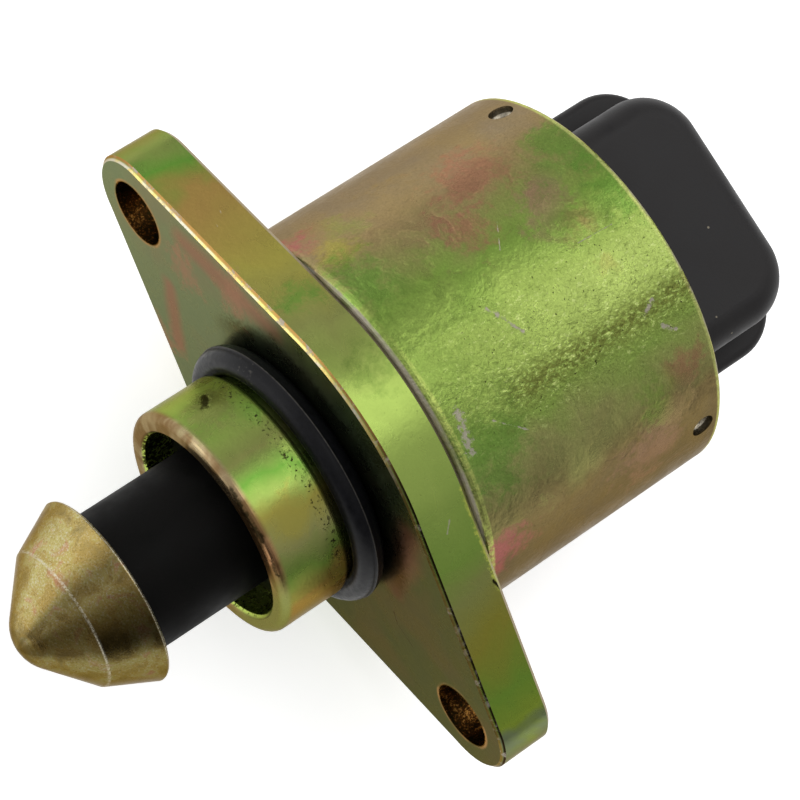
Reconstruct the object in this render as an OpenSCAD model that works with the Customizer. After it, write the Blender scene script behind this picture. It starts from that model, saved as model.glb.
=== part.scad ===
// Idle air control valve: a stepper motor in a plated steel can drives a conical
// pintle in and out of an air passage. Units are millimetres.
// The origin is the centre of the mounting face. The pintle points along -Y, the
// bolt holes lie along X and the electrical connector opens towards -Z.

/* [Mounting flange] */
// Thickness of the flange plate
flange_t = 5.2; // [3.5:0.1:8]
// Distance between the centres of the two bolt holes
hole_spacing = 49.6; // [46:0.1:60]
// Diameter of each bolt hole
hole_d = 6; // [4:0.1:7]
// Radius of the flange's ends, round each bolt hole
flange_end_r = 5.3; // [4.6:0.1:8]
// Radius of the flange's middle
flange_mid_r = 17.55; // [15:0.05:22]
// Chamfer along the flange's edges
flange_chamfer = 0.35; // [0.1:0.05:0.8]
// Radius of the boss that is riveted through the can's front wall
rivet_boss_r = 12; // [10.5:0.1:13]

/* [Spigot and its seal] */
// Length of the spigot in front of the mounting face
spigot_len = 9.75; // [8.5:0.05:14]
// Outer radius of the spigot
spigot_r = 10.5; // [9.8:0.05:13]
// Radius of the spigot's bore
spigot_bore_r = 8.75; // [8.7:0.05:9]
// Rounding of the spigot's outer rim
rim_round = 0.7; // [0.2:0.05:1]
// Chamfer of the spigot's inner rim
rim_chamfer = 0.3; // [0.1:0.05:0.5]
// Rounding of the spigot's edge beside the O-ring
shoulder_round = 0.6; // [0.1:0.05:0.8]
// Radius of the O-ring's cord
cord_r = 1.3; // [0.9:0.05:1.6]
// Depth of the O-ring's groove
groove_depth = 0.9; // [0.5:0.05:1]
// Gap between the O-ring and the mounting face
ring_gap = 0.1; // [0.05:0.01:0.3]

/* [Motor can] */
// Outer radius of the can
can_r = 18; // [17.6:0.1:24]
// Length of the can behind the flange
can_len = 25.5; // [24:0.1:34]
// Wall of the can
can_wall = 1.2; // [0.8:0.05:1.6]
// Rounding of the can's front edge
can_round = 0.8; // [0.3:0.05:1.2]
// Chamfer of the can's rear rim
can_rim_chamfer = 0.2; // [0.1:0.05:0.4]
// Radius of each stake dimple
dimple_r = 1.1; // [0.6:0.05:1.3]
// Distance of the dimples from the can's rear rim
dimple_inset = 2; // [1.8:0.05:2.3]
// Depth to which each dimple is pressed
dimple_depth = 0.8; // [0.4:0.05:1]

/* [Pintle] */
// Radius of the sliding sleeve
sleeve_r = 6.4; // [6:0.05:6.6]
// Wall of the sleeve
sleeve_wall = 1.8; // [1.4:0.05:2.2]
// Distance from the mounting face to the cone's back edge
shaft_reach = 19.6; // [19:0.1:26]
// Radius of the cone's back edge
cone_back_r = 8.5; // [7.4:0.05:8.6]
// Radius of the ridge between the two tapers
cone_ridge_r = 6.42; // [5:0.02:7]
// Radius where the nose starts
cone_nose_r = 2.5; // [1.5:0.05:3.5]
// Length of the rear taper
cone_rear_len = 4.5; // [3:0.05:7]
// Length of the front taper
cone_front_len = 3.45; // [2:0.05:6]
// Height of the rounded nose
nose_height = 0.95; // [0.5:0.05:1.4]
// Length of the cone's stem inside the sleeve
stem_len = 3.9; // [2.5:0.1:4]
// Length of the threaded brass insert
nut_len = 8; // [5:0.1:9]
// Travel out of the housing, from the modelled place
travel_out = 1; // [0.5:0.1:1.5]
// Travel into the housing, from the modelled place
travel_in = 8; // [6:0.1:8.5]

/* [Guide bush] */
// Depth of the bush's front face below the spigot's rim
bush_recess = 3; // [1.5:0.1:4]
// Length of the bush's front lip
lip_len = 2.5; // [1.5:0.1:3]
// Radius to the crest of each guide lug
lug_r = 7.75; // [7.3:0.05:7.9]
// Width of each guide lug
lug_w = 2; // [1.5:0.1:3]
// Length of each guide lug
lug_len = 2; // [1.5:0.1:3]
// Thickness of the bush's flange and rim
bush_wall = 1.4; // [1:0.1:2]

/* [Ball bearing] */
// Radius of the bearing's bore
bearing_bore_r = 3; // [2.5:0.1:3.4]
// Outer radius of the bearing
bearing_r = 7.5; // [6.8:0.1:7.8]
// Width of the bearing
bearing_w = 5; // [4:0.1:6]
// Radius of each ball
ball_r = 1.19; // [1:0.01:1.3]
// Number of balls
balls = 8; // [6:1:9]

/* [Rotor] */
// Radius of the lead screw
screw_r = 2; // [1.5:0.05:2.3]
// Lead screw's reach in front of the mounting face
screw_reach = 7; // [5:0.1:7.3]
// Outer radius of the magnet
magnet_r = 8.75; // [8:0.05:9]
// Radial wall of the magnet
magnet_wall = 3.5; // [2:0.1:4.5]
// Radius of the rear journal
tail_r = 1.5; // [1:0.05:2]
// Length of the rear bush
tail_len = 2.4; // [1.6:0.1:2.8]
// Gap between the bearing and the magnet
rotor_gap = 0.5; // [0.3:0.1:1]
// Thickness of the preload washer
washer_t = 0.15; // [0.1:0.05:0.25]
// Height of the preload washer's cone
washer_rise = 0.25; // [0.1:0.05:0.5]

/* [Stator] */
// Air gap between the magnet and the claws
air_gap = 0.35; // [0.25:0.05:0.6]
// Thickness of the pressed pole sheet
pole_t = 0.8; // [0.6:0.05:1]
// Number of claws on each pole cup
claws = 6; // [4:1:8]
// Width of a claw at its root
claw_root_w = 3.6; // [2:0.1:3.8]
// Width of a claw at its tip
claw_tip_w = 1.8; // [1:0.1:2]
// Gap between a claw's tip and the facing plate
claw_gap = 0.7; // [0.4:0.1:1.2]
// Wall of each coil bobbin
bobbin_wall = 0.6; // [0.4:0.05:0.8]
// Gap between a coil and the pole cups round it
coil_gap = 0.4; // [0.2:0.05:0.8]

/* [Connector] */
// Thickness of the plug that closes the can
plug_t = 3.8; // [3.4:0.1:5]
// Depth of the plug below the can's rear rim
plug_recess = 0.3; // [0.1:0.05:0.5]
// Half width of the block behind the can
block_half = 11; // [9.6:0.1:11.4]
// Height of the block's top above the axis
block_top = 11.5; // [9.5:0.1:12]
// Length of the block behind the can's rim
block_reach = 12.2; // [11:0.1:16]
// Corner radius of the block, seen from above
block_corner = 5; // [3:0.1:6]
// Rounding along the block's top edges
block_round = 2.4; // [0.5:0.1:2.5]
// Half width of the shroud
shroud_half = 13.1; // [12.4:0.1:15]
// Height of the shroud's shoulder above the axis
shroud_top = 4; // [2:0.1:5]
// Depth of the shroud's mouth below the axis
shroud_mouth = 14; // [12:0.1:16]
// Gap between the can's rim and the shroud
shroud_gap = 0.5; // [0.3:0.05:1]
// Length of the shroud, along the valve
shroud_len = 12.2; // [12:0.1:16]
// Corner radius at the shroud's rear
shroud_corner = 5; // [3:0.1:6]
// Corner radius beside the can
shroud_front_corner = 3; // [2:0.1:4]
// Rounding of the shroud's shoulder
shroud_round = 0.8; // [0.3:0.1:1.2]
// Wall of the shroud
shroud_wall = 1.4; // [1:0.05:1.5]
// Depth of the shroud's socket
socket_depth = 12; // [9:0.1:13]
// Pitch of the terminals
pin_pitch = 5; // [3.5:0.1:5.5]
// Width of each terminal blade
pin_w = 1.5; // [1:0.05:1.6]
// Thickness of each terminal blade
pin_t = 0.64; // [0.5:0.02:0.8]
// Distance of each blade's tip inside the mouth
pin_inset = 3; // [2:0.1:5]
// Height of the terminals' inner legs above the axis
pin_leg_z = 7.5; // [6.5:0.1:8.5]

/* [Clearances] */
// Radial clearance of each running fit
run_gap = 0.06; // [0.02:0.01:0.1]
// Radial clearance round each ball, in its races
ball_gap = 0.05; // [0.03:0.01:0.08]
// Radial clearance of pieces that are pressed together
press_gap = 0.02; // [0.01:0.01:0.04]
// Clearance left at the ends of the travel and beside the lugs
end_gap = 0.3; // [0.2:0.05:0.4]

/* [Hidden] */
$fn = 96;

// Places along Y, from the mounting face towards the connector.
can_front_y = flange_t;
can_rear_y = flange_t + can_len;
can_inner_y = can_front_y + can_wall;
bush_front_y = bush_recess - spigot_len;
lip_back_y = bush_front_y + lip_len;
lug_front_y = lip_back_y + end_gap + travel_out;
lug_back_y = lug_front_y + lug_len;
bearing_front_y = lug_back_y + travel_in + end_gap;
bearing_back_y = bearing_front_y + bearing_w;
plug_back_y = can_rear_y - plug_recess;
plug_front_y = plug_back_y - plug_t;
rotor_front_y = bearing_back_y + rotor_gap;
rotor_back_y = plug_front_y - washer_t - washer_rise - 0.2;
dimple_y = can_rear_y - dimple_inset;
block_back_y = can_rear_y + block_reach;
shroud_front_y = can_rear_y + shroud_gap;
shroud_back_y = shroud_front_y + shroud_len;
pin_y = (shroud_front_y + shroud_back_y) / 2;

// Radii and lengths that follow from the sizes above.
can_inner_r = can_r - can_wall;
groove_r = spigot_r - groove_depth;
groove_w = 2 * cord_r + 3 * ring_gap;
sleeve_inner_r = sleeve_r - sleeve_wall;
keyway_r = lug_r + end_gap;
guide_relief = 0.6;
guide_r = sleeve_r + guide_relief;
stator_r = can_inner_r - press_gap;
stator_bore_r = magnet_r + air_gap;
claw_outer_r = stator_bore_r + pole_t;
stack_len = (plug_front_y - bearing_back_y) / 2;
pitch_r = (bearing_bore_r + bearing_r) / 2;
race_groove_r = ball_r + ball_gap;
race_lip = 0.62 * ball_r;
cage_side = 0.35;
hub_r = magnet_r - magnet_wall - press_gap;
tangent_angle = acos((flange_mid_r - flange_end_r) / (hole_spacing / 2));
tangent_len = hole_spacing / 2 * sin(tangent_angle);
DIMPLE_ANGLES = [-30, 90, 210];

// Turned pieces: the local Z axis runs along +Y.
module turned() {
    rotate([-90, 0, 0])
        children();
}

// A plain ring between two places along the axis.
module ring(inner_r, outer_r, y0, y1) {
    turned()
        rotate_extrude()
            translate([inner_r, y0])
                square([outer_r - inner_r, y1 - y0]);
}

// A plain rod between two places along the axis.
module rod(r, y0, y1) {
    turned()
        translate([0, 0, y0])
            cylinder(r = r, h = y1 - y0);
}

// Points of an arc, from one angle to another.
function arc(cx, cy, r, from, to, steps = 6) =
    [for (i = [0:steps]) let (a = from + (to - from) * i / steps) [cx + r * cos(a), cy + r * sin(a)]];

// Section of the flange between two reaches, with the chamfers of its outer edge.
module flange_section(inner, outer) {
    c = flange_chamfer;
    t = flange_t;
    polygon([[inner, 0], [outer - c, 0], [outer, c], [outer, t - c], [outer - c, t], [inner, t]]);
}

// The web along one tangent. It stays a hair inside both circles, to cross them cleanly.
module tangent_web() {
    hair = 0.02;
    rotate([90, 0, tangent_angle])
        linear_extrude(height = tangent_len)
            flange_section((flange_mid_r - flange_end_r) / 2, flange_mid_r - hair);
}

// The plate: a round middle and two round ends, joined by their tangents. Each seam
// lies where its edge stays on the outside.
module flange_plate() {
    rotate(90)
        rotate_extrude()
            flange_section(0, flange_mid_r);
    for (turn = [0, 180])
        rotate(turn) {
            translate([hole_spacing / 2, 0, 0])
                rotate_extrude()
                    flange_section(0, flange_end_r);
            tangent_web();
            mirror([0, 1, 0])
                tangent_web();
        }
}

// Half section of the spigot, with the O-ring's groove and a rounded rim.
module spigot_section() {
    polygon(concat(
        [[0, flange_t / 2], [groove_r, flange_t / 2], [groove_r, -groove_w]],
        arc(spigot_r - shoulder_round, -groove_w - shoulder_round, shoulder_round, 90, 0),
        arc(spigot_r - rim_round, rim_round - spigot_len, rim_round, 0, -90),
        [[0, -spigot_len]]
    ));
}

module mounting_flange() {
    color("darkkhaki")
        turned()
            difference() {
                union() {
                    flange_plate();
                    rotate_extrude()
                        spigot_section();
                    cylinder(r = rivet_boss_r - press_gap, h = can_inner_y);
                }
                translate([0, 0, -spigot_len - 1])
                    cylinder(r = spigot_bore_r, h = spigot_len + can_inner_y + 2);
                translate([0, 0, -spigot_len - rim_chamfer])
                    cylinder(
                        r1 = spigot_bore_r + 2 * rim_chamfer,
                        r2 = spigot_bore_r,
                        h = 2 * rim_chamfer
                    );
                for (side = [-1, 1])
                    translate([side * hole_spacing / 2, 0, -1])
                        cylinder(d = hole_d, h = flange_t + 2);
            }
}

module flange_o_ring() {
    color("dimgray")
        turned()
            rotate_extrude()
                translate([groove_r + cord_r, -cord_r - ring_gap])
                    circle(r = cord_r);
}

// The drawn cup: a side wall and a front wall that the flange's boss rivets.
module can_section() {
    polygon(concat(
        [[rivet_boss_r, can_front_y]],
        arc(can_r - can_round, can_front_y + can_round, can_round, -90, 0),
        [[can_r, can_rear_y - can_rim_chamfer], [can_r - can_rim_chamfer, can_rear_y]],
        [[can_inner_r, can_rear_y]],
        [[can_inner_r, can_inner_y], [rivet_boss_r, can_inner_y]]
    ));
}

// One place on the can's wall, with local Z pointing outwards from the axis.
module at_dimple(angle) {
    turned()
        rotate(angle)
            translate([0, 0, dimple_y])
                rotate([0, 90, 0])
                    children();
}

module motor_can() {
    color("darkkhaki")
        difference() {
            union() {
                turned()
                    rotate_extrude()
                        can_section();
                for (a = DIMPLE_ANGLES)
                    at_dimple(a)
                        translate([0, 0, can_inner_r - dimple_depth])
                            cylinder(r = dimple_r, h = can_wall);
            }
            for (a = DIMPLE_ANGLES)
                at_dimple(a)
                    translate([0, 0, can_r - dimple_depth])
                        cylinder(r = dimple_r, h = can_wall);
        }
}

// Half of a section with its outer top edge rounded.
module edge_section(reach, height, edge) {
    square([reach, height - edge]);
    square([reach - edge, height]);
    translate([reach - edge, height - edge])
        circle(r = edge);
}

// One band of a slab, with its outer top edge rounded, between two places along X.
module edge_band(x0, x1, reach, height, edge) {
    translate([x0, 0, 0])
        rotate([90, 0, 90])
            linear_extrude(height = x1 - x0)
                edge_section(reach, height, edge);
}

// A quarter of a round corner, in the quadrant that the turn gives.
module corner_puck(x, y, turn, corner, height, edge) {
    translate([x, y, 0])
        rotate(turn)
            rotate_extrude(angle = 90)
                edge_section(corner, height, edge);
}

// A slab from Y = 0 to its length, with round corners and rounded top edges.
// A front corner of 0 leaves the front face square.
module soft_slab(half, len, front, rear, height, edge) {
    translate([0, len - rear, 0])
        edge_band(rear - half, half - rear, rear, height, edge);
    corner_puck(half - rear, len - rear, 0, rear, height, edge);
    corner_puck(rear - half, len - rear, 90, rear, height, edge);
    translate([0, len - rear, 0])
        rotate([90, 0, 0])
            linear_extrude(height = len - front - rear) {
                edge_section(half, height, edge);
                mirror([1, 0])
                    edge_section(half, height, edge);
            }
    if (front > 0) {
        translate([0, front, 0])
            mirror([0, 1, 0])
                edge_band(front - half, half - front, front, height, edge);
        corner_puck(half - front, front, 270, front, height, edge);
        corner_puck(front - half, front, 180, front, height, edge);
    }
}

// The socket seen from below: the shroud's outline drawn in by an inset.
module shroud_plan(inset) {
    half = shroud_half - inset;
    rear = shroud_corner - inset;
    front = shroud_front_corner - inset;
    len = shroud_len - 2 * inset;
    translate([0, inset]) {
        translate([-half, front])
            square([2 * half, len - front - rear]);
        translate([front - half, 0])
            square([2 * (half - front), len / 2]);
        translate([rear - half, len / 2])
            square([2 * (half - rear), len / 2]);
        for (side = [-1, 1]) {
            translate([side * (half - front), front])
                circle(r = front);
            translate([side * (half - rear), len - rear])
                circle(r = rear);
        }
    }
}

// The disc that closes the can, with a groove for the dimples and the rear bush's seat.
module plug() {
    plug_r = can_inner_r - press_gap;
    groove_half = dimple_r + 0.15;
    groove_gap = 0.1;
    well_gap = 0.3;
    difference() {
        rod(plug_r, plug_front_y, plug_back_y);
        ring(
            can_inner_r - dimple_depth - groove_gap, plug_r + 1,
            dimple_y - groove_half, dimple_y + groove_half
        );
        rod(tail_r + bush_wall, plug_front_y - 1, plug_front_y + tail_len);
        rod(tail_r + well_gap, plug_front_y, plug_front_y + tail_len + well_gap);
    }
}

// The whole moulding before its socket and terminals are taken out.
module connector_mass() {
    neck_half = block_half - 0.4;
    neck_low = 6 - shroud_mouth;
    plug();
    translate([0, plug_back_y, 0])
        soft_slab(block_half, block_back_y - plug_back_y, 0, block_corner, block_top, block_round);
    translate([-neck_half, plug_back_y, neck_low])
        cube([2 * neck_half, shroud_front_y - plug_back_y + shroud_wall / 2, shroud_top - neck_low]);
    translate([0, shroud_front_y, -shroud_mouth])
        soft_slab(
            shroud_half, shroud_len, shroud_front_corner, shroud_corner,
            shroud_mouth + shroud_top, shroud_round
        );
    lock_ramp();
}

// The catch that holds the harness plug, on the shroud's rear wall.
module lock_ramp() {
    half = 2.5;
    len = 4;
    crest = 0.6;
    sunk = 0.2;
    out = sunk + 1.2;
    from_mouth = 3;
    translate([-half, shroud_back_y - sunk, from_mouth - shroud_mouth])
        rotate([90, 0, 90])
            linear_extrude(height = 2 * half)
                polygon([[0, 0], [sunk, 0], [out, len - crest], [out, len], [0, len]]);
}

module connector_body() {
    color("dimgray")
        difference() {
            connector_mass();
            translate([0, shroud_front_y, -shroud_mouth - 1])
                linear_extrude(height = socket_depth + 1)
                    shroud_plan(shroud_wall);
            for (i = [0:3])
                terminal_blade(i);
        }
}

// One blade: it stands in the socket, bends and runs forward through the plug.
module terminal_blade(i) {
    tip = 0.3;
    z_tip = -shroud_mouth + pin_inset;
    y0 = pin_y - pin_t / 2;
    y1 = pin_y + pin_t / 2;
    bend = 1;
    translate([(i - 1.5) * pin_pitch - pin_w / 2, 0, 0])
        rotate([90, 0, 90])
            linear_extrude(height = pin_w)
                polygon([
                    [plug_front_y, pin_leg_z], [y0, pin_leg_z], [y0, z_tip + tip],
                    [y0 + pin_t / 3, z_tip], [y1 - pin_t / 3, z_tip], [y1, z_tip + tip],
                    [y1, pin_leg_z + pin_t - bend], [y1 - bend, pin_leg_z + pin_t],
                    [plug_front_y, pin_leg_z + pin_t]
                ]);
}

module terminal(i) {
    color("silver")
        terminal_blade(i);
}

// The guide: a nose in the spigot, a flange against the can's front wall and a
// seat for the ball bearing.
module guide_bush() {
    nose_r = spigot_bore_r - press_gap;
    boss_r = bearing_r + bush_wall;
    color("darkslategray")
        difference() {
            union() {
                rod(nose_r, bush_front_y, can_inner_y);
                rod(stator_r, can_inner_y, can_inner_y + bush_wall);
                rod(boss_r, can_inner_y, bearing_back_y);
                ring(stator_r - bush_wall, stator_r, can_inner_y, bearing_back_y);
            }
            rod(sleeve_r + run_gap, bush_front_y - 1, lip_back_y);
            rod(guide_r, lip_back_y, bearing_back_y);
            rod(bearing_r + press_gap, bearing_front_y, bearing_back_y + 1);
            for (k = [0:3])
                turned()
                    rotate(90 * k)
                        intersection() {
                            translate([0, -lug_w / 2 - end_gap / 2, lip_back_y])
                                cube([keyway_r + 1, lug_w + end_gap, bearing_front_y - lip_back_y + 1]);
                            cylinder(r = keyway_r, h = 4 * keyway_r, center = true);
                        }
        }
}

module pintle_sleeve() {
    color("dimgray")
        difference() {
            union() {
                rod(sleeve_r, -shaft_reach, lug_back_y);
                for (k = [0:3])
                    turned()
                        rotate(90 * k)
                            intersection() {
                                translate([0, -lug_w / 2, lug_front_y])
                                    cube([lug_r + 1, lug_w, lug_len]);
                                cylinder(r = lug_r, h = 4 * lug_r, center = true);
                            }
            }
            rod(sleeve_inner_r, -shaft_reach - 1, lug_back_y + 1);
        }
}

module pintle_nut() {
    color("goldenrod")
        ring(screw_r + run_gap, sleeve_inner_r - press_gap, lug_back_y - nut_len, lug_back_y);
}

// Half section of the cone with its two tapers, rounded nose and stem.
module cone_section() {
    back = -shaft_reach;
    ridge = back - cone_rear_len;
    nose = ridge - cone_front_len;
    edge = 0.35;
    cap_r = (cone_nose_r * cone_nose_r + nose_height * nose_height) / (2 * nose_height);
    cap_angle = asin(cone_nose_r / cap_r);
    polygon(concat(
        [[0, back + stem_len], [sleeve_inner_r - press_gap, back + stem_len]],
        [[sleeve_inner_r - press_gap, back], [cone_back_r - edge, back]],
        arc(cone_back_r - edge, back - edge, edge, 90, 0, 4),
        [[cone_ridge_r, ridge]],
        arc(0, nose - nose_height + cap_r, cap_r, cap_angle - 90, -90)
    ));
}

module valve_cone() {
    color("peru")
        turned()
            rotate_extrude()
                cone_section();
}

module lead_screw() {
    tip = -screw_reach;
    front = bearing_front_y;
    collar_r = bearing_bore_r + race_lip;
    color("silver")
        turned()
            rotate_extrude()
                polygon([
                    [0, tip], [screw_r - 0.4, tip], [screw_r, tip + 0.4],
                    [screw_r, front], [bearing_bore_r - press_gap, front],
                    [bearing_bore_r - press_gap, bearing_back_y], [collar_r, bearing_back_y],
                    [collar_r, rotor_front_y], [bearing_bore_r, rotor_front_y],
                    [bearing_bore_r, rotor_back_y], [tail_r, rotor_back_y],
                    [tail_r, plug_front_y + tail_len - 0.2], [0, plug_front_y + tail_len - 0.2]
                ]);
}

module rotor_hub() {
    pocket_r = (bearing_bore_r + hub_r) / 2;
    color("whitesmoke")
        difference() {
            ring(bearing_bore_r + press_gap, hub_r, rotor_front_y, rotor_back_y);
            for (k = [0:5])
                turned()
                    rotate(60 * k)
                        translate([pocket_r, 0, rotor_back_y - 2])
                            cylinder(r = (hub_r - bearing_bore_r) / 4, h = 3);
        }
}

module rotor_magnet() {
    color("slategray")
        ring(magnet_r - magnet_wall, magnet_r, rotor_front_y, rotor_back_y);
}

// The track that the balls run in, taken out of both races.
module ball_track() {
    turned()
        translate([0, 0, bearing_front_y + bearing_w / 2])
            rotate_extrude()
                translate([pitch_r, 0])
                    circle(r = race_groove_r);
}

module bearing_outer_race() {
    color("lightsteelblue")
        difference() {
            ring(pitch_r + race_lip, bearing_r, bearing_front_y, bearing_back_y);
            ball_track();
        }
}

module bearing_inner_race() {
    color("lightsteelblue")
        difference() {
            ring(bearing_bore_r, pitch_r - race_lip, bearing_front_y, bearing_back_y);
            ball_track();
        }
}

module at_balls() {
    for (k = [0:balls - 1])
        turned()
            rotate(360 * k / balls)
                translate([pitch_r, 0, bearing_front_y + bearing_w / 2])
                    children();
}

module bearing_balls() {
    color("gainsboro")
        at_balls()
            sphere(r = ball_r);
}

module bearing_cage() {
    half_w = ball_r + cage_side;
    mid_y = bearing_front_y + bearing_w / 2;
    half_t = race_lip - end_gap;
    color("goldenrod")
        difference() {
            ring(pitch_r - half_t, pitch_r + half_t, mid_y - half_w, mid_y + half_w);
            at_balls()
                rotate([0, 90, 0])
                    cylinder(r = ball_r + press_gap, h = 2 * ball_r, center = true);
        }
}

module rear_bush() {
    color("chocolate")
        ring(tail_r + run_gap, tail_r + bush_wall - press_gap, plug_front_y, plug_front_y + tail_len);
}

// A conical spring washer between the rotor and the rear bush.
module preload_washer() {
    inner_r = tail_r + end_gap;
    outer_r = bearing_bore_r;
    color("silver")
        turned()
            rotate_extrude()
                polygon([
                    [inner_r, plug_front_y - washer_rise - washer_t], [outer_r, plug_front_y - washer_t],
                    [outer_r, plug_front_y], [inner_r, plug_front_y - washer_rise]
                ]);
}

// A tapered claw, cut from the sheet and bent along the bore. Its root is in the plate.
module claw() {
    root = pole_t / 2;
    reach = stack_len - pole_t - claw_gap;
    intersection() {
        rotate([90, 0, 90])
            linear_extrude(height = claw_outer_r + 1)
                polygon([
                    [-claw_root_w / 2, root], [claw_root_w / 2, root],
                    [claw_tip_w / 2, reach], [-claw_tip_w / 2, reach]
                ]);
        difference() {
            cylinder(r = claw_outer_r, h = reach);
            translate([0, 0, -1])
                cylinder(r = stator_bore_r, h = reach + 2);
        }
    }
}

// A pole cup: plate, half of the outer wall, and claws that reach into the bore.
module pole_cup() {
    plate_bore_r = stator_bore_r + pole_t / 4;
    color("lightslategray") {
        rotate_extrude()
            polygon([
                [plate_bore_r, 0], [stator_r, 0], [stator_r, stack_len / 2],
                [stator_r - pole_t, stack_len / 2], [stator_r - pole_t, pole_t],
                [plate_bore_r, pole_t]
            ]);
        for (k = [0:claws - 1])
            rotate(360 * k / claws)
                claw();
    }
}

// A stack's two cups face each other, half a claw pitch apart.
module stack_pole(stack, facing) {
    shift = stack * 90 / claws;
    y = bearing_back_y + stack * stack_len;
    turned()
        if (facing == 0)
            translate([0, 0, y])
                rotate(shift)
                    pole_cup();
        else
            translate([0, 0, y + stack_len])
                rotate(shift + 180 / claws)
                    mirror([0, 0, 1])
                        pole_cup();
}

module bobbin(stack) {
    y0 = bearing_back_y + stack * stack_len + pole_t;
    y1 = y0 + stack_len - 2 * pole_t;
    inner = claw_outer_r + press_gap;
    outer = stator_r - pole_t - press_gap;
    color("ivory")
        difference() {
            ring(inner, outer, y0, y1);
            ring(inner + bobbin_wall, outer + 1, y0 + bobbin_wall, y1 - bobbin_wall);
        }
}

module coil(stack) {
    y0 = bearing_back_y + stack * stack_len + pole_t + bobbin_wall;
    y1 = y0 + stack_len - 2 * pole_t - 2 * bobbin_wall;
    color("sienna")
        ring(claw_outer_r + 2 * press_gap + bobbin_wall, stator_r - pole_t - coil_gap, y0, y1);
}

mounting_flange();
motor_can();
connector_body();
terminal(0);  // terminal_1
terminal(1);  // terminal_2
terminal(2);  // terminal_3
terminal(3);  // terminal_4
flange_o_ring();
guide_bush();
pintle_sleeve();
pintle_nut();
valve_cone();
lead_screw();
rotor_hub();
rotor_magnet();
bearing_outer_race();
bearing_inner_race();
bearing_balls();
bearing_cage();
rear_bush();
preload_washer();
stack_pole(0, 0);  // front_coil_front_pole
stack_pole(0, 1);  // front_coil_rear_pole
stack_pole(1, 0);  // rear_coil_front_pole
stack_pole(1, 1);  // rear_coil_rear_pole
bobbin(0);  // front_bobbin
bobbin(1);  // rear_bobbin
coil(0);  // front_coil
coil(1);  // rear_coil
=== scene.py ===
# %% [markdown]
# # Idle air control valve
# A small stepper motor in a plated steel can screws a conical pintle in and out of
# an air passage. The CAD solids are the frame: nothing here moves or resizes them.
# This script gives them their looks and adds the pieces that repeat, such as the
# turns of the coils and of the lead screw.

# %% Load the frame
import math

import bmesh
import bpy
from mathutils import Matrix, Vector


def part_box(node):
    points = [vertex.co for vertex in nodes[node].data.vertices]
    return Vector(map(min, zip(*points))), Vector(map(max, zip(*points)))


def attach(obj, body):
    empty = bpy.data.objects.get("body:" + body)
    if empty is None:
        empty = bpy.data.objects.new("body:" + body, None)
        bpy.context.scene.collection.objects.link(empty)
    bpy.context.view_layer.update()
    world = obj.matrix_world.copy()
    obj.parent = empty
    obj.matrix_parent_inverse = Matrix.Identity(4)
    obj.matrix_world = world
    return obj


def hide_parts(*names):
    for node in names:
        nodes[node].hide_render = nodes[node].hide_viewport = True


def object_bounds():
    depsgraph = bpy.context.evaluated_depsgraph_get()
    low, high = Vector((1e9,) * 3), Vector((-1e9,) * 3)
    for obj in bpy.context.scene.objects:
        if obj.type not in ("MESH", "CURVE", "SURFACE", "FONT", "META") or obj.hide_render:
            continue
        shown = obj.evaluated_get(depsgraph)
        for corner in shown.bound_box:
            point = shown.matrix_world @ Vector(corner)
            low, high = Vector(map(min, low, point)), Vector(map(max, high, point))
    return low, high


MM = 0.001
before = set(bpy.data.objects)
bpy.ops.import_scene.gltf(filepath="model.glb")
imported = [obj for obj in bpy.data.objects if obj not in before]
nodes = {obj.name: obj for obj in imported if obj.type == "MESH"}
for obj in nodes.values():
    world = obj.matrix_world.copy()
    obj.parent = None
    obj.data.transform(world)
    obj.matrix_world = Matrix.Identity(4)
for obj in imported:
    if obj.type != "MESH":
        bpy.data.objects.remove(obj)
cad_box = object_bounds()

# %% [markdown]
# ## Camera
# The photograph looks down on the valve from the pintle's side, with the camera
# turned about its own axis so that the valve lies diagonally. A long lens far away
# keeps the sides nearly parallel. The axes were solved from the flange, the can and
# the cone, so the camera is given as its three axes and its place.

# %% Camera
CAMERA_PLACE = Vector((-2.941, -92.208, 259.888)) * MM
CAMERA_RIGHT = Vector((0.54280, 0.77878, 0.31445))
CAMERA_UP = Vector((-0.83980, 0.50804, 0.19141))
LENS = 149.55

camera = bpy.data.objects.new("camera", bpy.data.cameras.new("camera"))
bpy.context.scene.collection.objects.link(camera)
camera.data.lens = LENS
camera.data.sensor_width = 36
camera.data.clip_start = 0.01
axes = Matrix((CAMERA_RIGHT, CAMERA_UP, CAMERA_RIGHT.cross(CAMERA_UP))).transposed()
camera.matrix_world = Matrix.Translation(CAMERA_PLACE) @ axes.to_4x4()
bpy.context.scene.camera = camera
bpy.context.scene.view_settings.view_transform = "Standard"
print("camera distance", round(CAMERA_PLACE.length / MM), "mm")

# %% [markdown]
# ## Tools for finishes
# Every finish is a node tree on Object coordinates, in metres, so a pattern stays on
# its piece in every view and pose. These few helpers keep the trees readable: each
# one adds nodes, plugs in their inputs and gives back the output. A mask is a value
# from 0 to 1 that says how much of something lies at a place.


# %% A finish
def add_node(tree, kind, plugs, out=0, **settings):
    """Adds a node to a tree, sets it, plugs in values or sockets and gives one output."""
    node = tree.nodes.new(kind)
    for key, value in settings.items():
        setattr(node, key, value)
    for key, value in plugs.items():
        if isinstance(value, bpy.types.NodeSocket):
            tree.links.new(value, node.inputs[key])
        else:
            node.inputs[key].default_value = value
    return node.outputs[out]


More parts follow.
